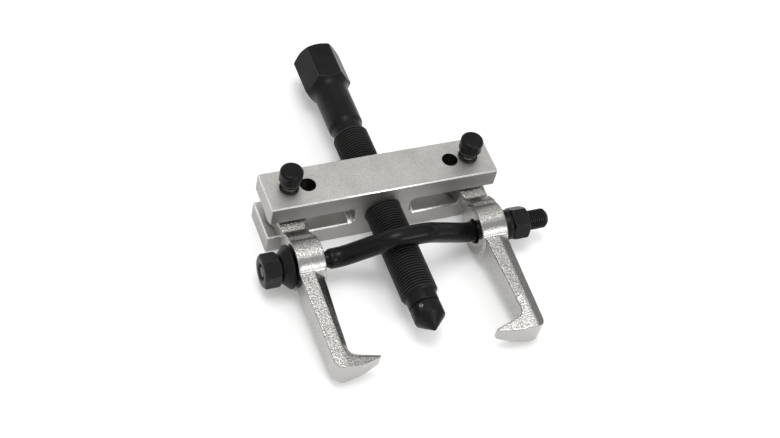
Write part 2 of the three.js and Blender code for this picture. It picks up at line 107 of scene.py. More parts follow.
# Chamfers of hexagons: depth below the face, and radius past the hexagon's corner. Where the
# radius is well past the corner, the ring is a full hexagon.
HEAD_CHAMFER = ((0, -2.6), (0.08, -2.1), (0.3, -1.5), (0.7, -0.9), (1.1, -0.4), (1.5, 0.02), (1.9, 0.5))
NUT_CHAMFER = ((0, -1.75), (0.06, -1.35), (0.35, -0.85), (0.7, -0.4), (1.05, -0.05), (1.4, 0.3), (1.9, 0.8))
HEX_STARTS = 0.46  # rings narrower than this share of the width across flats stay round
HEX_EDGE_SOFTNESS = 0.24
HEX_FACE_SOFTNESS = 0.12

SCREW_PITCH = 25.4 / 18
SCREW_THREAD_DEPTH = 0.84
HEX_ACROSS_FLATS = 20.6375
HEX_TURN = 26.5
HEX_BASE_Y = 69.5
FLARE_Y = 61.0
FLARE_POWER = 3.4  # the higher, the later the flare widens
SHANK_RADIUS = 8.55
SHANK_END_Y = 43.0
UNDERCUT_Y = SHANK_END_Y - 2.4
UNDERCUT_RADIUS = 7.6
THREAD_HIGH_Y = UNDERCUT_Y - 4.2
THREAD_LOW_Y = -62.2
TIP_RADIUS = 7.3
BALL_RADIUS = (BALL_HIGH[0] - BALL_LOW[0]) / 2
BALL_SOCKET = BALL_RADIUS + 0.1
TIP_PIN_RADIUS = 1.25
TIP_PIN_START = 4.2
TIP_PIN_DEPTH = 2.2
TIP_PIN_TURN = 125.0

ROD_RADIUS = 4.7625
ROD_PITCH = 25.4 / 24
ROD_THREAD_DEPTH = 0.65
ROD_CHAMFER = 0.5
NECK_RADIUS = 3.7
NECK_THREAD = 16.0
NECK_THREAD_DEPTH = 0.62
SHOULDER_X = -33.6
SHOULDER_HALF = 1.3
ROD_THREAD_X = 41.0
BOW_HEIGHT = 16.9
BOW_TILT = math.radians(22.4)
BOW_CORNERS = (-27.0, -7.0, 10.0, 35.0)
BOW_BEND = 13.0
BOW_BEND_STEPS = 13
NUT_ACROSS_FLATS = 14.2875
NUT_TURN = {"left": 35.0, "right": 16.0}
NUT_MOUTH = 0.75
BORE_CLEARANCE = 0.15

PIN_RADIUS = 3.65
PIN_NECK_RADIUS = PIN_RADIUS - 1
KNOB_TAPER = ((0, 1.4), (2.6, 0.3), (3.4, 0))  # height above the base, and loss of radius there

JAW_DROOP = math.radians(3.3)
JAW_SPREAD = {"left": 0.0, "right": 0.8}
JAW_VOXEL = 0.36
SKIN_LOSS = 0.06
SKIN_RELIEF = 0.04
WIDE_WAVES = 0.28  # to a millimetre
SMALL_WAVES = 1.2

# Parts of a pitch at which a thread's crest starts and ends, and its root.
THREAD_CREST = (0.0, 0.14)
THREAD_ROOT = (0.46, 0.68)

AROUND_SCREW = 96
AROUND_ROD = 64
AROUND_SMALL = 72
SMOOTH_DEGREES = 32
WELD = 0.004


# ---------------------------------------------------------------- mesh making


def moved(x=0, y=0, z=0):
    """A shift given in millimetres."""
    return Matrix.Translation((x * MM, y * MM, z * MM))


def soft_min(a, b, blend):
    """The smaller of two arrays, with the crease between them rounded."""
    share = np.clip(0.5 + 0.5 * (b - a) / blend, 0, 1)
    return b * (1 - share) + a * share - blend * share * (1 - share)


def rounded(profile, radius, steps=4):
    """A profile with each inner corner replaced by a short curve."""
    points = [np.array(p, float) for p in profile]
    result = [points[0]]
    for before, corner, after in zip(points, points[1:], points[2:]):
        back, on = before - corner, after - corner
        reach = min(radius, np.linalg.norm(back) * 0.45, np.linalg.norm(on) * 0.45)
        start = corner + back / np.linalg.norm(back) * reach
        end = corner + on / np.linalg.norm(on) * reach
        for t in np.linspace(0, 1, steps + 1):
            result.append(start * (1 - t) ** 2 + corner * 2 * t * (1 - t) + end * t**2)
    result.append(points[-1])
    return [tuple(p) for p in result]


def hexagon_radius(angles, across_flats, turn, soften):
    """Distance from the axis to a hexagon's side, at each angle in radians."""
    folded = np.mod(angles - math.radians(turn), math.pi / 3) - math.pi / 6
    near = across_flats / 2 / np.cos(folded)
    beside = across_flats / 2 / np.cos(math.pi / 3 - np.abs(folded))
    return soft_min(near, beside, soften)


def rings_about_axis(stations, around, axis, hexagon=None, first_angle=0.0):
    """Rings of points (rows, around, 3) for [place along the axis, radius] stations.

    About X an angle runs from +Y to +Z, about Y from +Z to +X, and about Z from +X to +Y.
    A hexagon, given as its width across flats and its turn, cuts into the wider rings.
    """
    angles = np.arange(around) * 2 * math.pi / around + first_angle
    along = np.array([s[0] for s in stations])[:, None] * np.ones(around)
    radius = np.array([s[1] for s in stations])[:, None] * np.ones(around)
    if hexagon is not None:
        across_flats, turn = hexagon
        side = hexagon_radius(angles, across_flats, turn, HEX_EDGE_SOFTNESS)[None, :]
        cut = soft_min(radius, side, HEX_FACE_SOFTNESS)
        radius = np.where(radius > across_flats * HEX_STARTS, cut, radius)
    return place_rings(along, radius, angles[None, :], axis)


def place_rings(along, radius, angles, axis):
    """Points at the given places along an axis, distances from it and angles about it."""
    cosine, sine = radius * np.cos(angles), radius * np.sin(angles)
    if axis == "x":
        return np.stack([along, cosine, sine], -1)
    if axis == "y":
        return np.stack([sine, along, cosine], -1)
    return np.stack([cosine, sine, along], -1)


def thread_rings(span, pitch, radii, end_radii, around, axis, first_angle=0.0):
    """Rings that follow a helix, four to a pitch, and close on a plain ring at both ends.

    The radii are those of crest and root. The end radii are those of the plain rings, from which
    the thread grows at 45 degrees. The second value is the number of rings to a pitch.
    """
    start, end = span
    crest, root = radii
    start_radius, end_radius = end_radii
    phases = [(phase, crest) for phase in THREAD_CREST] + [(phase, root) for phase in THREAD_ROOT]
    turns = int(math.ceil((end - start) / pitch)) + 3
    angles = np.arange(around) * 2 * math.pi / around
    rows_along, rows_radius = [], []
    for turn in range(turns):
        for phase, radius in phases:
            along = start + pitch * (turn - 1.0 + phase + angles / (2 * math.pi))
            along = np.clip(along, start, end)
            limit = np.minimum(start_radius + (along - start), end_radius + (end - along))
            rows_along.append(along)
            rows_radius.append(np.minimum(radius, limit))
    along, radius = np.array(rows_along), np.array(rows_radius)
    return place_rings(along, radius, angles[None, :] + first_angle, axis), len(phases)


def add_rings(mesh, rings, seam_shift):
    """Adds rings to a bmesh, with faces between neighbours. A helix shifts rows at its seam."""
    rows, around, _ = rings.shape
    points = [[mesh.verts.new(p * MM) for p in row] for row in rings]
    for i in range(rows - 1):
        for j in range(around):
            last = j == around - 1
            side = 0 if last else j + 1
            shift = seam_shift if last else 0
            if i + 1 + shift >= rows:
                continue
            a, b = points[i][j], points[i + 1][j]
            c, d = points[i + 1 + shift][side], points[i + shift][side]
            mesh.faces.new((a, b, c, d))


def mesh_object(name, sections):
    """One closed mesh from sections of rings, welded where they meet and capped at open ends."""
    made = bmesh.new()
    for rings, seam_shift in sections:
        add_rings(made, rings, seam_shift)
    bmesh.ops.remove_doubles(made, verts=made.verts, dist=WELD * MM)
    bmesh.ops.dissolve_degenerate(made, edges=made.edges, dist=WELD / 2 * MM)
    bmesh.ops.holes_fill(made, edges=[e for e in made.edges if e.is_boundary], sides=0)
    bmesh.ops.recalc_face_normals(made, faces=made.faces)
    return object_of(name, mesh_data(name, made))


def mesh_data(name, made):
    """A bmesh's contents as mesh data."""
    data = bpy.data.meshes.new(name)
    made.to_mesh(data)
    made.free()
    return data


def turned(name, profile, around, axis, hexagon=None, first_angle=0.0):
    """A piece turned about an axis from one profile."""
    return mesh_object(name, [(rings_about_axis(profile, around, axis, hexagon, first_angle), 0)])


def object_of(name, data, smooth_degrees=SMOOTH_DEGREES):
    """An object in the scene, smooth across edges that turn less than the angle."""
    data.polygons.foreach_set("use_smooth", [True] * len(data.polygons))
    data.set_sharp_from_angle(angle=math.radians(smooth_degrees))
    made = bpy.data.objects.new(name, data)
    bpy.context.scene.collection.objects.link(made)
    return made


def baked(source, smooth_degrees=SMOOTH_DEGREES):
    """The object with its modifiers turned into plain mesh."""
    graph = bpy.context.evaluated_depsgraph_get()
    data = bpy.data.meshes.new_from_object(source.evaluated_get(graph))
    name = source.name
    bpy.data.objects.remove(source)
    return object_of(name, data, smooth_degrees)


def drilled(made, tools, smooth_degrees=SMOOTH_DEGREES):
    """The object with its modifiers applied and the tools cut out of it."""
    for tool in tools:
        cut = made.modifiers.new("drilled", "BOOLEAN")
        cut.operation, cut.object, cut.solver = "DIFFERENCE", tool, "EXACT"
    made = baked(made, smooth_degrees)
    for tool in tools:
        bpy.data.objects.remove(tool)
    return made


def vertex_values(data, name):
    """A mesh's points ("co") or normals ("normal"), as rows of three."""
    values = np.empty(len(data.vertices) * 3, np.float32)
    data.vertices.foreach_get(name, values)
    return values.reshape(-1, 3)


def mark_wear_and_highlight(made):
    """Stores how convex each point is, as the attribute that the materials lighten edges with: wear, and on
    the plating also a painted highlight.
    """
    data = made.data
    points, normals = vertex_values(data, "co"), vertex_values(data, "normal")
    edges = np.empty(len(data.edges) * 2, np.int32)
    data.edges.foreach_get("vertices", edges)
    first, second = edges.reshape(-1, 2).T
    step = points[first] - points[second]
    step /= np.maximum(np.linalg.norm(step, axis=1), 1e-9)[:, None]
    total, ways = np.zeros(len(points)), np.zeros(len(points))
    np.add.at(total, first, (normals[first] * step).sum(1))
    np.add.at(total, second, -(normals[second] * step).sum(1))
    np.add.at(ways, first, 1)
    np.add.at(ways, second, 1)
    wear_and_highlight = np.clip(total / np.maximum(ways, 1), 0, 1).astype(np.float32)
    attribute = data.attributes.new("wear_and_highlight", "FLOAT", "POINT")
    attribute.data.foreach_set("value", wear_and_highlight)


def stand_for(made, node, material):
    """Puts the material on, and lets the piece stand for its CAD node on that node's body."""
    mark_wear_and_highlight(made)
    made.data.materials.clear()
    made.data.materials.append(material)
    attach(made, frame["nodes"][node]["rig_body"])
    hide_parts(node)


# ---------------------------------------------------------------- materials


class Nodes:
    """A small helper that adds shader nodes and joins them."""

    def __init__(self, name):
        self.material = bpy.data.materials.new(name)
        self.material.use_nodes = True
        self.tree = self.material.node_tree
        self.shader = self.tree.nodes["Principled BSDF"]
        self.place = self.add("ShaderNodeTexCoord").outputs["Object"]

    def add(self, kind, **values):
        node = self.tree.nodes.new(kind)
        for key, value in values.items():
            setattr(node, key, value)
        return node

    def link(self, output, target):
        self.tree.links.new(output, target)

    def noise(self, size, detail=4.0, roughness=0.55, stretch=(1, 1, 1)):
        """Noise whose grains are about `size` millimetres across."""
        mapping = self.add("ShaderNodeMapping")
        mapping.inputs["Scale"].default_value = stretch
        self.link(self.place, mapping.inputs["Vector"])
        texture = self.add("ShaderNodeTexNoise")
        texture.inputs["Scale"].default_value = 1 / (size * MM)
        texture.inputs["Detail"].default_value = detail
        texture.inputs["Roughness"].default_value = roughness
        self.link(mapping.outputs["Vector"], texture.inputs["Vector"])
        return texture.outputs["Fac"]

    def ramp(self, value, low, high, to_low=0.0, to_high=1.0):
        """The value, stretched from one range to another and held inside it."""
        mapped = self.add("ShaderNodeMapRange")
        mapped.inputs["From Min"].default_value = low
        mapped.inputs["From Max"].default_value = high
        mapped.inputs["To Min"].default_value = to_low
        mapped.inputs["To Max"].default_value = to_high
        self.link(value, mapped.inputs["Value"])
        return mapped.outputs["Result"]

    def math(self, operation, first, second):
        node = self.add("ShaderNodeMath", operation=operation)
        for socket, value in zip(node.inputs, (first, second)):
            if isinstance(value, (int, float)):
                socket.default_value = value
            else:
                self.link(value, socket)
        return node.outputs["Value"]

    def mix(self, share, first, second):
        """Mixes two colours. A Mix node's colour sockets share their names, so they go by number."""
        node = self.add("ShaderNodeMix", data_type="RGBA")
        sockets = (node.inputs[0], node.inputs[6], node.inputs[7])
        for socket, value in zip(sockets, (share, first, second)):
            if isinstance(value, tuple):
                socket.default_value = (*value, 1.0)
            elif isinstance(value, (int, float)):
                socket.default_value = value
            else:
                self.link(value, socket)
        return node.outputs[2]

    def wear_and_highlight(self, low, high):
        """0 where the mesh is flat or hollow, and 1 along its edges."""
        attribute = self.add("ShaderNodeAttribute", attribute_name="wear_and_highlight")
        return self.ramp(attribute.outputs["Fac"], low, high)

    def facing_up(self, low, high):
        """1 on faces that lie flat, above or below, and 0 on upright ones."""
        geometry = self.add("ShaderNodeNewGeometry")
        apart = self.add("ShaderNodeSeparateXYZ")
        self.link(geometry.outputs["Normal"], apart.inputs["Vector"])
        return self.ramp(self.math("ABSOLUTE", apart.outputs["Z"], 0), low, high)

    def bump(self, height, strength, distance, under=None):
        """Relief of the given distance in millimetres, which may lie on another relief."""
        node = self.add("ShaderNodeBump")
        node.inputs["Strength"].default_value = strength
        node.inputs["Distance"].default_value = distance * MM
        self.link(height, node.inputs["Height"])
        if under is not None:
            self.link(under, node.inputs["Normal"])
        return node.outputs["Normal"]

    def finish(self, color, roughness, normal, metallic):
        """Joins the values to the shader, and gives the finished material."""
        self.link(color, self.shader.inputs["Base Color"])
        self.link(roughness, self.shader.inputs["Roughness"])
        self.link(normal, self.shader.inputs["Normal"])
        self.shader.inputs["Metallic"].default_value = metallic
        return self.material


METAL, NOT_METAL = 1.0, 0.0
PITS = (0.30, 0.29, 0.28)
BLASTED_DULL = (0.50, 0.485, 0.47)
BLASTED_LIGHT = (0.58, 0.565, 0.55)
# painted shade on the crossbar's upright faces
BLASTED_SIDE_SHADE = (0.40, 0.39, 0.38)
# edge wear and painted highlight on the crossbar's edges and bevels
BLASTED_WORN_AND_HIGHLIGHT = (0.92, 0.91, 0.89)
FORGED_SATIN = (0.56, 0.545, 0.53)
# painted shade on the jaws' sloped bevels, for the dark they mirror
FORGED_BEVEL_SHADE = (0.24, 0.235, 0.23)
# painted shade on the jaws' upright sides
FORGED_SIDE_SHADE = (0.42, 0.41, 0.40)
# edge wear and painted highlight on the jaws' edges
FORGED_WORN_AND_HIGHLIGHT = (0.92, 0.91, 0.9)
OXIDE_WORN = (0.18, 0.175, 0.17)


def grey(level):
    """A colour with no hue."""
    return (level, level, level)


def blasted_plate():
    """Bead-blasted nickel on the crossbar: fine even grain, upright faces painted darker as shade, and
    edges and bevels lightened for wear and as a painted highlight.
    """
    n = Nodes("blasted_nickel")
    grain = n.noise(0.55, detail=4, roughness=0.65)
    cloud = n.noise(14, detail=3)
    # edges and bevels: wear and a painted highlight, lighter and smoother
    worn_and_highlight = n.wear_and_highlight(0.04, 0.3)
    color = n.mix(n.ramp(cloud, 0.35, 0.65), BLASTED_DULL, BLASTED_LIGHT)
    color = n.mix(n.ramp(grain, 0.45, 0.65, 0, 0.5), color, PITS)
    # painted shade: upright faces darker than those lying flat
    color = n.mix(n.facing_up(0.2, 0.6), BLASTED_SIDE_SHADE, color)
    color = n.mix(worn_and_highlight, color, BLASTED_WORN_AND_HIGHLIGHT)
    rough = n.math("SUBTRACT", n.ramp(grain, 0.3, 0.7, 0.42, 0.56), worn_and_highlight)
    rough = n.math("MAXIMUM", rough, 0.22)
    normal = n.bump(grain, 0.7, 0.12)
    return n.finish(color, rough, n.bump(n.noise(2.2), 0.12, 0.1, normal), METAL)


def forged_plate():
    """Bright plating over a drop forging: coarse skin on the flat sides, satin on the others. Sloped bevels
    and upright sides are painted darker as shade, and edges lighter for wear and as a painted highlight.
    """
    n = Nodes("plated_forging")
    skin = n.noise(0.75, detail=3, roughness=0.6)
    fine = n.noise(0.45, detail=3)
    top, slope = n.facing_up(0.9, 0.97), n.facing_up(0.5, 0.8)
    speck = n.math("MULTIPLY", n.ramp(skin, 0.42, 0.6), slope)
    # painted shade: sloped faces, between upright and flat, darker
    bevel_shade = n.math("SUBTRACT", slope, top)
    color = n.mix(speck, FORGED_SATIN, PITS)
    color = n.mix(bevel_shade, color, FORGED_BEVEL_SHADE)
    # painted shade: upright sides darker than the tops
    color = n.mix(n.facing_up(0.2, 0.5), FORGED_SIDE_SHADE, color)
    # edge wear and painted highlight: edges lighter
    color = n.mix(n.wear_and_highlight(0.16, 0.45), color, FORGED_WORN_AND_HIGHLIGHT)
    rough = n.math("ADD", n.ramp(fine, 0.3, 0.7, 0.20, 0.30), n.math("MULTIPLY", speck, 0.08))
    share = n.math("ADD", n.math("MULTIPLY", slope, 0.2), n.math("MULTIPLY", top, 0.8))
    height = n.math("MULTIPLY", skin, n.math("ADD", share, 0.08))
    normal = n.bump(height, 0.8, 0.32)
    return n.finish(color, rough, n.bump(fine, 0.25, 0.05, normal), METAL)


def black_oxide(name, roughness, edge, tone):
    """Oiled black oxide on machined steel, rubbed a little brighter along its edges."""
    n = Nodes(name)
    cloud = n.noise(9, detail=4)
    fine = n.noise(0.5, detail=3)
    color = n.mix(n.ramp(cloud, 0.35, 0.7), grey(tone), grey(tone * 2.2))
    color = n.mix(n.math("MULTIPLY", n.wear_and_highlight(0.08, 0.4), edge), color, OXIDE_WORN)
    rough = n.ramp(fine, 0.3, 0.7, roughness - 0.05, roughness + 0.07)
    n.shader.inputs["Specular IOR Level"].default_value = 0.15
    normal = n.bump(fine, 0.10, 0.04)
    return n.finish(color, rough, n.bump(cloud, 0.06, 0.3, normal), NOT_METAL)


def hardened_steel():
    """Ground steel with fine lines round it."""
    n = Nodes("ground_steel")
    lines = n.noise(0.4, detail=3, stretch=(0.2, 0.2, 3))
    color = n.mix(n.ramp(lines, 0.3, 0.7), grey(0.16), grey(0.26))
    return n.finish(color, n.ramp(lines, 0.3, 0.7, 0.16, 0.3), n.bump(lines, 0.2, 0.03), METAL)


def rubber():
    """Matt black rubber with a faint moulded grain."""
    n = Nodes("ring_rubber")
    grain = n.noise(0.3, detail=3)
    n.shader.inputs["Specular IOR Level"].default_value = 0.2
    color = n.mix(n.ramp(grain, 0.3, 0.7), grey(0.005), grey(0.012))
    rough = n.ramp(grain, 0.3, 0.7, 0.55, 0.75)
    return n.finish(color, rough, n.bump(grain, 0.3, 0.05), NOT_METAL)


def paper_floor():
    """White paper that glows a little, so that it photographs as white."""
    n = Nodes("white_sweep")
    grain = n.noise(30, detail=2)
    color = n.mix(n.ramp(grain, 0.3, 0.7), grey(0.93), grey(0.95))
    n.shader.inputs["Emission Color"].default_value = (1, 1, 1, 1)
    n.shader.inputs["Emission Strength"].default_value = 0.14
    rough = n.ramp(grain, 0.3, 0.7, 0.7, 0.8)
    return n.finish(color, rough, n.bump(grain, 0.02, 0.1), NOT_METAL)


PLATED = blasted_plate()
FORGED = forged_plate()
OXIDE = black_oxide("black_oxide", roughness=0.36, edge=0.3, tone=0.004)
GLOSS = black_oxide("gloss_black", roughness=0.26, edge=0.25, tone=0.003)
KNOB = black_oxide("knob_black", roughness=0.30, edge=0.35, tone=0.0035)
STEEL = hardened_steel()
RUBBER = rubber()


# ---------------------------------------------------------------- crossbar


def quarter_turn(x, z, start):
    """An inner corner of a slot, about its centre, turning clockwise from a start angle."""
    angles = start - np.linspace(0, math.pi / 2, SLOT_CORNER_STEPS)
    return [(x + SLOT_CORNER * math.cos(a), z + SLOT_CORNER * math.sin(a)) for a in angles]


def bar_outline():
    """The crossbar seen from the front: a block with a slot open at each end."""
    half = BAR_HIGH[0]
    low, high = BAR_LOW[2] + PLATE, BAR_HIGH[2] - PLATE
    inner = WEB + SLOT_CORNER
    right = [(half, BAR_LOW[2]), (half, low)]
    right += quarter_turn(inner, low + SLOT_CORNER, 1.5 * math.pi)
    right += quarter_turn(inner, high - SLOT_CORNER, math.pi)
    right += [(half, high), (half, BAR_HIGH[2])]
    return right + [(-x, z) for x, z in reversed(right)]


def bar_block():
    """The outline drawn out from the front face to the back one."""
    front, back = BAR_LOW[1], BAR_HIGH[1]
    made = bmesh.new()
    face = made.faces.new([made.verts.new(Vector((x, front, z)) * MM) for x, z in bar_outline()])
    for part in bmesh.ops.extrude_face_region(made, geom=[face])["geom"]:
        if isinstance(part, bmesh.types.BMVert):
            part.co.y = back * MM
    bmesh.ops.recalc_face_normals(made, faces=made.faces)
    return object_of("crossbar_fine", mesh_data("crossbar_fine", made))


def crossbar():
    """The bevelled block with the screw's bore and the holes for the pivot pins."""
    bar = bar_block()
    edge = bar.modifiers.new("edges", "BEVEL")
    edge.width, edge.segments, edge.limit_method = BAR_BEVEL * MM, 1, "ANGLE"
    edge.angle_limit = math.radians(40)
    edge.use_clamp_overlap = False
    drills = [drill((0, 0, MIDDLE), "y", SCREW_BORE, 40)]
    drills += [drill((x, 0, MIDDLE), "z", PIN_HOLE_RADIUS, 60) for x in PIN_HOLES]
    bar = drilled(bar, drills, 50)
    for face in bar.data.polygons:
        face.use_smooth = max(abs(c) for c in face.normal) < 0.9999
    stand_for(bar, "crossbar", PLATED)
    # painted shade: a dark second material for the pin holes' walls
    bar.data.materials.append(OXIDE)
    mark_bar_faces(bar.data)


def mark_bar_faces(data):
    """Makes the pin holes' walls dark as painted shade, and gives whole bevels the bright edge colour as a
    painted highlight, rather than points.
    """
    data.attributes.remove(data.attributes["wear_and_highlight"])
    wear_and_highlight = data.attributes.new("wear_and_highlight", "FLOAT", "FACE")
    for face in data.polygons:
        x, y, _ = face.center / MM
        upright = abs(face.normal.z) < 0.1
        inside = any(math.hypot(x - hole, y) < PIN_HOLE_RADIUS + CLEAR for hole in PIN_HOLES)
        # painted shade: the pin holes' walls take the dark material
        face.material_index = 1 if inside and face.use_smooth and upright else 0
        # painted highlight: the plate's bevels get the bright edge colour all over
        wear_and_highlight.data[face.index].value = BEVEL_HIGHLIGHT if face.use_smooth and not upright else 0


def drill(centre, axis, radius, length):
    """A cylinder to cut with."""
    tool = turned("drill", [(-length / 2, radius), (length / 2, radius)], AROUND_SCREW, axis)
    tool.data.transform(moved(*centre))
    return tool


# ---------------------------------------------------------------- forcing screw and tip


def screw_end():
    """The screw's end next to the tip, with a socket for half of the thrust ball."""
    end = SCREW_LOW[1]
    corners = [
        (end + BALL_SOCKET + 0.7, CENTRE),
        (end + BALL_SOCKET - 0.5, BALL_SOCKET),
        (end, BALL_SOCKET),
        (end, TIP_RADIUS - 0.5),
        (end + 0.5, TIP_RADIUS),
        (THREAD_LOW_Y, TIP_RADIUS),
    ]
    return rounded(corners, 0.25)


def screw_shank():
    """The undercut that follows the thread, and the plain shank up to the flare."""
    corners = [
        (THREAD_HIGH_Y, UNDERCUT_RADIUS),
        (UNDERCUT_Y, UNDERCUT_RADIUS),
        (SHANK_END_Y - 0.5, SHANK_RADIUS),
        (SHANK_END_Y + 0.6, SHANK_RADIUS),
        (FLARE_Y, SHANK_RADIUS),
    ]
    return rounded(corners, 0.5)


def screw_head():
    """The flare that widens into the hexagon, and the hexagon with its chamfered end."""
    end = SCREW_HIGH[1]
    corner = HEX_ACROSS_FLATS / math.sqrt(3)
    rise, widening = HEX_BASE_Y - FLARE_Y, corner + 0.25 - SHANK_RADIUS
    shares = np.linspace(0.04, 1, 30)
    flare = [(FLARE_Y + rise * t, SHANK_RADIUS + widening * t**FLARE_POWER) for t in shares]
    sides = [(y, corner + 1.2) for y in np.linspace(HEX_BASE_Y + 1.5, end - 2.4, 12)]
    chamfer = [(end - depth, corner + past) for depth, past in reversed(HEAD_CHAMFER)]
    face = [(end, 4.0), (end - CENTRE, CENTRE)]
    return [*flare, (HEX_BASE_Y + 0.6, corner + 0.6), *sides, *chamfer, *face]


def forcing_screw():
    """A fine-threaded screw with a plain shank and a hexagon head."""
    turn = math.radians(HEX_TURN)
    thread, shift = thread_rings(
        (THREAD_LOW_Y, THREAD_HIGH_Y),
        SCREW_PITCH,
        (SCREW_RADIUS, SCREW_RADIUS - SCREW_THREAD_DEPTH),
        (TIP_RADIUS, UNDERCUT_RADIUS),
        AROUND_SCREW,
        "y",
        turn,
    )
    hexagon = (HEX_ACROSS_FLATS, HEX_TURN)
    upper = rings_about_axis(screw_shank() + screw_head(), AROUND_SCREW, "y", hexagon, turn)
    lower = rings_about_axis(screw_end(), AROUND_SCREW, "y", first_angle=turn)
    screw = mesh_object("forcing_screw_fine", [(lower, 0), (thread, shift), (upper, 0)])
    screw.data.transform(moved(z=MIDDLE))
    stand_for(screw, "forcing_screw", OXIDE)


def screw_tip():
    """The loose point on the screw's end, with its half of the ball's socket and a pin hole."""
    point, top = TIP_LOW[1], TIP_HIGH[1]
    corners = [
        (point, CENTRE),
        (point + 0.12, 0.5),
        (point + 6.4, TIP_RADIUS),
        (top - 0.45, TIP_RADIUS),
        (top, TIP_RADIUS - 0.45),
        (top, BALL_SOCKET),
        (top - BALL_SOCKET + 0.5, BALL_SOCKET),
        (top - BALL_SOCKET - 0.7, CENTRE),
    ]
    tip = turned("screw_tip_fine", rounded(corners, 0.3), AROUND_SCREW, "y")
    bore = TIP_PIN_RADIUS + 0.05
    hole = turned("pin_drill", [(TIP_PIN_START - 0.3, bore), (TIP_RADIUS + 1.7, bore)], 32, "x")
    hole.data.transform(pin_turn())
    for made in (tip, hole):
        made.data.transform(moved(z=MIDDLE))
    stand_for(drilled(tip, [hole]), "screw_tip", OXIDE)


def pin_turn():
    """Turns a pin that lies along +X about the screw's axis, and sets it a little way into the tip."""
    along = moved(y=TIP_HIGH[1] - TIP_PIN_DEPTH)
    return along @ Matrix.Rotation(-math.radians(TIP_PIN_TURN), 4, "Y")


def tip_pin():
    """The small pin that keeps the tip on, set just below the tip's surface."""
    end = TIP_RADIUS - 0.12
    corners = [
        (TIP_PIN_START, CENTRE),
        (TIP_PIN_START, TIP_PIN_RADIUS - 0.2),
        (TIP_PIN_START + 0.2, TIP_PIN_RADIUS),
        (end - 0.35, TIP_PIN_RADIUS),
        (end - 0.1, TIP_PIN_RADIUS - 0.3),
        (end, CENTRE),
    ]
    pin = turned("tip_pin_fine", rounded(corners, 0.12), 40, "x")
    pin.data.transform(moved(z=MIDDLE) @ pin_turn())
    stand_for(pin, "tip_retaining_pin", STEEL)


def thrust_ball():
    """The steel ball between the screw and its tip."""
    radius = BALL_RADIUS - CLEAR
    angles = np.linspace(0, math.pi, 33)
    arc = [(-radius * math.cos(a), max(radius * math.sin(a), CENTRE / 2)) for a in angles]
    ball = turned("thrust_ball_fine", arc, 64, "y")
    ball.data.transform(moved(*(BALL_LOW + BALL_HIGH) / 2))
    stand_for(ball, "thrust_ball", STEEL)


# ---------------------------------------------------------------- jaws


def jaw(side, spread):
    """The CAD jaw's shape with a forging's rounded edges and uneven skin."""
    node = f"{side}_jaw"
    made = object_of(f"{node}_fine", frame["nodes"][node].data.copy())
    stance = Matrix.Rotation(math.radians(spread), 4, "Z") @ Matrix.Rotation(JAW_DROOP, 4, "X")
    made.data.transform(stance.inverted())
    remesh = made.modifiers.new("even", "REMESH")
    remesh.mode, remesh.voxel_size = "VOXEL", JAW_VOXEL * MM
    relax = made.modifiers.new("edges", "SMOOTH")
    relax.factor, relax.iterations = 0.5, 4
    made = baked(made, 60)
    made.data.transform(stance)
    roughen(made.data)
    stand_for(made, node, FORGED)


def roughen(data):
    """Sinks the skin unevenly: in wide waves all over, and in small ones on the flat sides."""
    points, normals = vertex_values(data, "co"), vertex_values(data, "normal")
    flat = np.clip((np.abs(normals[:, 2]) - 0.9) / 0.07, 0, 1)
    wide = np.array([noise.noise(Vector(p / MM) * WIDE_WAVES) for p in points])
    small = np.array([noise.noise(Vector(p / MM) * SMALL_WAVES) for p in points])
    height = -SKIN_LOSS + SKIN_RELIEF * wide + flat * SKIN_RELIEF * small
    points += normals * (height * MM)[:, None].astype(np.float32)
    data.vertices.foreach_set("co", points.ravel())
    data.update()


# ---------------------------------------------------------------- pivot pins


def pivot_pin(side):
    """Pin, knob and ring, each turned about the upright axis through the crossbar's hole."""
    low, high = box(f"{side}_pivot_pin")
    pin = pin_shank(f"{side}_pivot_pin")
    knob = pin_knob(f"{side}_pin_knob")
    ring = pin_ring(f"{side}_pin_ring")
    for made in (pin, knob, ring):
        made.data.transform(moved((low[0] + high[0]) / 2))
    stand_for(pin, f"{side}_pivot_pin", STEEL)
    stand_for(knob, f"{side}_pin_knob", KNOB)
    stand_for(ring, f"{side}_pin_ring", RUBBER)


def pin_shank(node):
    """The pin, with a neck that the knob sits on."""
    low, high = box(node)
    shoulder = box(node.replace("pivot_pin", "pin_knob"))[0][2] + 0.4
    corners = [
        (low[2], CENTRE),
        (low[2], PIN_RADIUS - 0.8),
        (low[2] + 1.2, PIN_RADIUS),
        (shoulder, PIN_RADIUS),
        (shoulder, PIN_NECK_RADIUS),
        (high[2], PIN_NECK_RADIUS),
        (high[2], CENTRE),
    ]
    return turned(f"{node}_fine", rounded(corners, 0.25), AROUND_SMALL, "z")


def pin_knob(node):
    """The knob, tapered towards its base and bored for the pin's neck."""
    low, high = box(node)
    base, top = low[2], high[2]
    radius, bore = (high[0] - low[0]) / 2, PIN_NECK_RADIUS + 0.1
    mouth = PIN_RADIUS + 0.2
    outside = [(base + 0.7, bore), (base + 0.7, mouth), (base, mouth)]
    outside += [(base + up, radius - less) for up, less in KNOB_TAPER]
    outside += [(top - 1.0, radius), (top, radius - 1.0), (top, CENTRE)]
    inside = [(top - 2.7, CENTRE), (top - 2.7, bore), (base + 0.7, bore)]
    profiles = (rounded(outside, 0.5, 6), inside)
    return mesh_object(f"{node}_fine", [(rings_about_axis(p, AROUND_SMALL, "z"), 0) for p in profiles])


def pin_ring(node):
    """The rubber ring under the knob."""
    low, high = box(node)
    tube = (high[2] - low[2]) / 2
    middle = (high[0] - low[0]) / 2 - tube
    height = (high[2] + low[2]) / 2
    angles = np.linspace(0, 2 * math.pi, 25)
    circle = [(height + tube * math.sin(a), middle + tube * math.cos(a)) for a in angles]
    return turned(f"{node}_fine", circle, AROUND_SMALL, "z")


# ---------------------------------------------------------------- side bolt


ON_BOLT = moved(0, BOLT_Y, BOLT_Z)


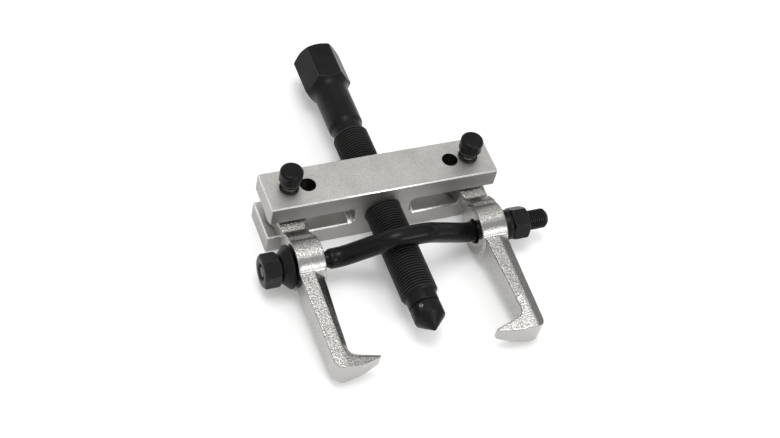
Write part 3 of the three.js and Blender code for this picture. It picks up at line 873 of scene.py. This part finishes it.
def bow_line():
    """Points of the bent rod's centreline in its own plane, with round bends."""
    foot, crest_start, crest_end, far_foot = BOW_CORNERS
    corners = [(foot, 0), (crest_start, BOW_HEIGHT), (crest_end, BOW_HEIGHT), (far_foot, 0)]
    ends = (SHOULDER_X + SHOULDER_HALF, 0), (ROD_THREAD_X, 0)
    path = [np.array(p, float) for p in (ends[0], *corners, ends[1])]
    line = [path[0]]
    for before, corner, after in zip(path, path[1:], path[2:]):
        back = (before - corner) / np.linalg.norm(before - corner)
        on = (after - corner) / np.linalg.norm(after - corner)
        turn = math.pi - math.acos(float(back @ on))
        setback = BOW_BEND * math.tan(turn / 2)
        bisector = (back + on) / np.linalg.norm(back + on)
        centre = corner + bisector * BOW_BEND / math.cos(turn / 2)
        start = corner + back * setback - centre
        sideways = np.array([-start[1], start[0]])
        if sideways @ (corner + on * setback - centre) < 0:
            sideways = -sideways
        for t in np.linspace(0, turn, BOW_BEND_STEPS):
            line.append(centre + start * math.cos(t) + sideways * math.sin(t))
    line.append(path[-1])
    return np.array(line)


def rod_bow():
    """Rings round the bent middle of the rod."""
    angles = np.arange(AROUND_ROD) * 2 * math.pi / AROUND_ROD
    line = bow_line()
    step = np.gradient(line, axis=0)
    step /= np.linalg.norm(step, axis=1)[:, None]
    across, beside = ROD_RADIUS * np.sin(angles), ROD_RADIUS * np.cos(angles)
    along = line[:, :1] - step[:, 1:] * across
    level = np.ones((len(line), 1)) * beside
    height = line[:, 1:] + step[:, :1] * across
    return np.stack([along, level, height], -1)


def side_bolt():
    """A rod threaded at both ends, with a thin neck at the left and a bow in the middle."""
    left, right = ROD_LOW[0], ROD_HIGH[0]
    neck_end, far_start = left + NECK_THREAD, ROD_THREAD_X + 0.8
    neck_root = NECK_RADIUS - NECK_THREAD_DEPTH
    far_root = ROD_RADIUS - ROD_THREAD_DEPTH
    neck_thread = thread_rings(
        (left + ROD_CHAMFER, neck_end),
        ROD_PITCH,
        (NECK_RADIUS, neck_root),
        (neck_root - 0.3, neck_root),
        AROUND_ROD,
        "x",
    )
    far_thread = thread_rings(
        (far_start, right - ROD_CHAMFER),
        ROD_PITCH,
        (ROD_RADIUS, far_root),
        (far_root, far_root - 0.3),
        AROUND_ROD,
        "x",
    )
    left_end = [(left, CENTRE), (left, neck_root - 0.75), (left + ROD_CHAMFER, neck_root - 0.3)]
    neck = [
        (neck_end, neck_root),
        (neck_end + 1, NECK_RADIUS),
        (SHOULDER_X - SHOULDER_HALF, NECK_RADIUS),
        (SHOULDER_X - 0.2, ROD_RADIUS - 0.5),
        (SHOULDER_X + 0.5, ROD_RADIUS - 0.05),
        (SHOULDER_X + SHOULDER_HALF, ROD_RADIUS),
    ]
    run_in = [(ROD_THREAD_X, ROD_RADIUS), (far_start, far_root)]
    right_end = [(right - ROD_CHAMFER, far_root - 0.3), (right, far_root - 0.75), (right, CENTRE)]
    sections = [
        (rings_about_axis(left_end, AROUND_ROD, "x"), 0),
        neck_thread,
        (rings_about_axis(neck, AROUND_ROD, "x"), 0),
        (rod_bow(), 0),
        (rings_about_axis(run_in, AROUND_ROD, "x"), 0),
        far_thread,
        (rings_about_axis(right_end, AROUND_ROD, "x"), 0),
    ]
    rod = mesh_object("side_bolt_fine", sections)
    rod.data.transform(ON_BOLT @ Matrix.Rotation(BOW_TILT, 4, "X"))
    stand_for(rod, "side_bolt", GLOSS)


def washer(side, bore):
    """The left washer stands on its wide rim, and the right one is a short collar."""
    low, high = box(f"{side}_cone_washer")
    wide = (high[1] - low[1]) / 2 - CLEAR
    if side == "left":
        outer, inner = low[0], high[0]
        profile = [
            (inner, bore),
            (inner, bore + 0.4),
            (inner - 0.7, wide - 0.3),
            (inner - 1.1, wide),
            (inner - 1.7, wide),
            (outer + 0.2, 6.8),
            (outer, 6.4),
            (outer, bore),
        ]
    else:
        inner, outer = low[0], high[0]
        profile = [
            (inner, bore),
            (inner, 5.9),
            (inner + 0.3, 6.2),
            (outer - 1.4, wide),
            (outer - 0.3, wide),
            (outer, wide - 0.3),
            (outer, bore),
        ]
    loop = rounded(profile, 0.25) + [profile[0]]
    made = turned(f"{side}_washer_fine", loop, AROUND_SCREW, "x")
    made.data.transform(ON_BOLT)
    stand_for(made, f"{side}_cone_washer", OXIDE)


def nut(side, bore):
    """A hexagon nut with both of its faces chamfered."""
    low, high = box(f"{side}_nut")
    start, end = low[0], high[0]
    corner = NUT_ACROSS_FLATS / math.sqrt(3)
    outside = [(start + depth, corner + past) for depth, past in NUT_CHAMFER]
    outside += [(x, corner + 1) for x in np.linspace(start + 2.6, end - 2.6, 5)]
    outside += [(end - depth, corner + past) for depth, past in reversed(NUT_CHAMFER)]
    wide = bore + NUT_MOUTH
    mouth = [(end, wide), (end - NUT_MOUTH, bore), (start + NUT_MOUTH, bore), (start, wide)]
    loop = outside + mouth + [outside[0]]
    turn = NUT_TURN[side]
    hexagon = (NUT_ACROSS_FLATS, turn)
    made = turned(f"{side}_nut_fine", loop, AROUND_SCREW, "x", hexagon, math.radians(turn))
    made.data.transform(ON_BOLT)
    stand_for(made, f"{side}_nut", OXIDE)


# ---------------------------------------------------------------- studio


def camera():
    """Looks down at the puller from the front left, with the picture turned a little."""
    azimuth, elevation, roll = (math.radians(angle) for angle in (31.5, 50.39, 14.66))
    distance, shift_right, shift_up = 770.1, -9.67, 2.79
    focal_length_in_picture_widths = 80 / 39
    ahead = Vector(
        (
            math.sin(azimuth) * math.cos(elevation),
            math.cos(azimuth) * math.cos(elevation),
            -math.sin(elevation),
        )
    )
    level = Vector((math.cos(azimuth), -math.sin(azimuth), 0))
    upright = level.cross(ahead)
    right = level * math.cos(roll) + upright * math.sin(roll)
    up = upright * math.cos(roll) - level * math.sin(roll)
    place = -(right * shift_right + up * shift_up + ahead * distance) * MM
    data = bpy.data.cameras.new("camera")
    data.sensor_width = 36
    data.lens = focal_length_in_picture_widths * data.sensor_width
    data.clip_start, data.clip_end = 0.05, 20
    made = bpy.data.objects.new("camera", data)
    turned = Matrix((right, up, -ahead)).transposed().to_4x4()
    made.matrix_world = Matrix.Translation(place) @ turned
    bpy.context.scene.collection.objects.link(made)
    bpy.context.scene.camera = made


def floor():
    """A sheet of white paper just under the lowest point of the puller."""
    half = 1.6
    corners = [(-half, -half), (half, -half), (half, half), (-half, half)]
    made = bmesh.new()
    made.faces.new([made.verts.new((x, y, 0)) for x, y in corners])
    plane = bpy.data.objects.new("floor", mesh_data("floor", made))
    bpy.context.scene.collection.objects.link(plane)
    lowest = min(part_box(node)[0].z for node in frame["nodes"])
    plane.location.z = lowest - CLEAR * MM
    plane.data.materials.append(paper_floor())


# The sky by the sine of the height above the horizon. Straight up it keeps the ramp's plain white.
HORIZON_LEVEL = 0.08
SKY_LEVELS = ((0.45, 1.25), (0.6, 0.12), (0.7, 0.5), (0.82, 1.15))


def near_white(level):
    """A very slightly warm grey, as RGBA."""
    return (level, level, level * 0.99, 1)


def soft_box(name, place, width, height, power):
    """A rectangular lamp that points at the origin."""
    data = bpy.data.lights.new(name, "AREA")
    data.shape, data.size, data.size_y, data.energy = "RECTANGLE", width, height, power
    made = bpy.data.objects.new(name, data)
    made.location = place
    made.rotation_mode = "QUATERNION"
    made.rotation_quaternion = (-Vector(place)).to_track_quat("-Z", "Y")
    bpy.context.scene.collection.objects.link(made)


def studio():
    """A dark world with a bright band low down and a bright ceiling, which the metal mirrors."""
    world = bpy.data.worlds.new("studio")
    bpy.context.scene.world = world
    world.use_nodes = True
    tree = world.node_tree
    background = tree.nodes["Background"]
    place = tree.nodes.new("ShaderNodeTexCoord")
    apart = tree.nodes.new("ShaderNodeSeparateXYZ")
    tree.links.new(place.outputs["Generated"], apart.inputs["Vector"])
    ramp = tree.nodes.new("ShaderNodeValToRGB")
    tree.links.new(apart.outputs["Z"], ramp.inputs["Fac"])
    stops = ramp.color_ramp.elements
    stops[0].color = near_white(HORIZON_LEVEL)
    for height, level in SKY_LEVELS:
        stops.new(height).color = near_white(level)
    tree.links.new(ramp.outputs["Color"], background.inputs["Color"])
    background.inputs["Strength"].default_value = 1.0
    soft_box("overhead", place=(-0.15, 0.0, 1.25), width=0.55, height=0.5, power=5.2)
    soft_box("front", place=(0.4, -0.92, 0.65), width=0.5, height=0.35, power=3.0)
    bpy.context.scene.view_settings.view_transform = "Standard"


# ---------------------------------------------------------------- assembly

camera()
crossbar()
forcing_screw()
screw_tip()
tip_pin()
thrust_ball()
for hand in ("left", "right"):
    jaw(hand, JAW_SPREAD[hand])
    pivot_pin(hand)
side_bolt()
washer("left", NECK_RADIUS + BORE_CLEARANCE)
washer("right", ROD_RADIUS + BORE_CLEARANCE)
nut("left", NECK_RADIUS + BORE_CLEARANCE)
nut("right", ROD_RADIUS + BORE_CLEARANCE)
floor()
studio()
